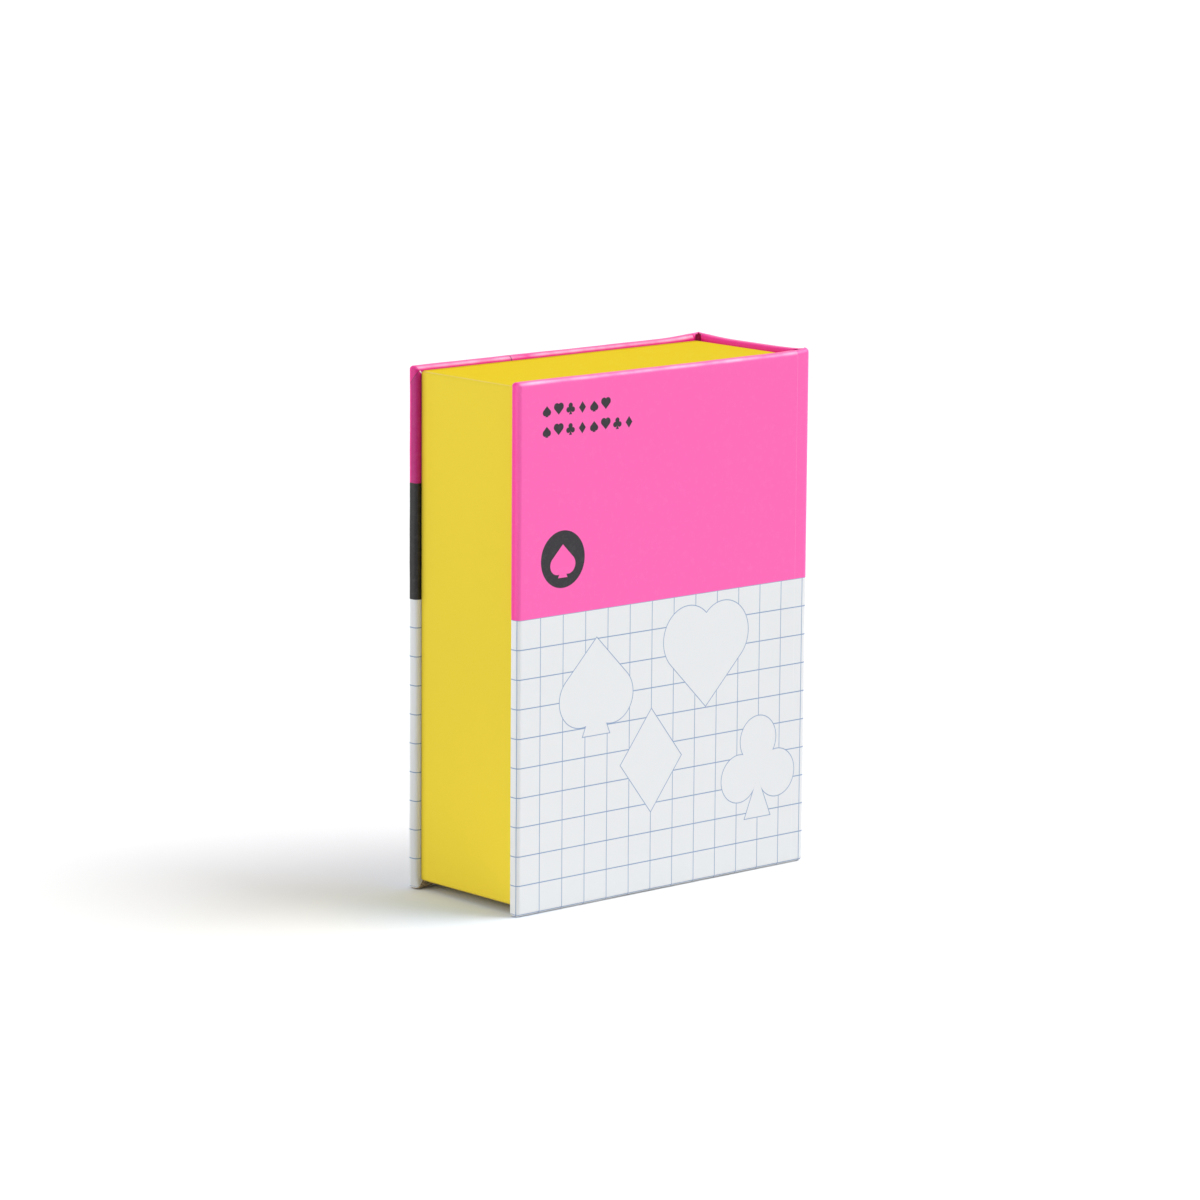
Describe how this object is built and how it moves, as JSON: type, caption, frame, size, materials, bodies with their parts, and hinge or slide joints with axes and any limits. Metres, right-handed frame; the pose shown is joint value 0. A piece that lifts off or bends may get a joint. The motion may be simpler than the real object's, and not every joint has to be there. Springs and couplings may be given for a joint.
{
  "type": "boxed playing card deck",
  "caption": "Deck of playing cards in a book-style rigid box: paper-covered boards hinged at the spine, round a paper-covered tray that holds the cards.",
  "frame": {"origin": "under the middle of the closed box, on the surface that its tail edges stand on", "axes": "+X towards the spine, +Y towards the back cover, +Z towards the head"},
  "size_m": [0.0728, 0.0312, 0.0991],
  "materials": {
    "grey_board": "raw grey board",
    "printed_paper": "printed paper with a satin film",
    "liner_paper": "uncoated paper",
    "tray_paper": "dyed uncoated paper",
    "card_stock": "smooth coated card"
  },
  "bodies": {
    "back_cover": {"back_board": "grey_board", "back_wrap": "printed_paper", "back_hinge": "printed_paper", "back_liner": "liner_paper", "tray_floor": "grey_board", "tray_head_wall": "grey_board", "tray_tail_wall": "grey_board", "tray_fore_wall": "grey_board", "tray_spine_wall": "grey_board", "tray_wrap": "tray_paper", "tray_lining": "tray_paper"},
    "spine": {"spine_board": "grey_board", "spine_wrap": "printed_paper", "spine_liner": "liner_paper", "front_hinge": "printed_paper"},
    "front_cover": {"front_board": "grey_board", "front_wrap": "printed_paper", "front_liner": "liner_paper"},
    "deck": {"clubs": "card_stock", "diamonds": "card_stock", "hearts": "card_stock", "spades": "card_stock"}
  },
  "joints": [
    {"name": "back_joint", "type": "hinge", "parent": "back_cover", "child": "spine", "pos_m": [0.03519, 0.01443, 0.04927], "axis": [0, 0, 1], "range_deg": [0, 90], "deforming": ["back_hinge"]},
    {"name": "front_joint", "type": "hinge", "parent": "spine", "child": "front_cover", "pos_m": [0.03519, -0.01443, 0.04927], "axis": [0, 0, 1], "range_deg": [0, 180], "deforming": ["front_hinge"]},
    {"name": "deck_lift", "type": "slide", "parent": "back_cover", "child": "deck", "axis": [0, -1, 0], "range_m": [0, 0.0246]}
  ],
  "couplings": [
    {"joint": "deck_lift", "follows": "front_joint", "m_per_rad": 0.0078304}
  ]
}
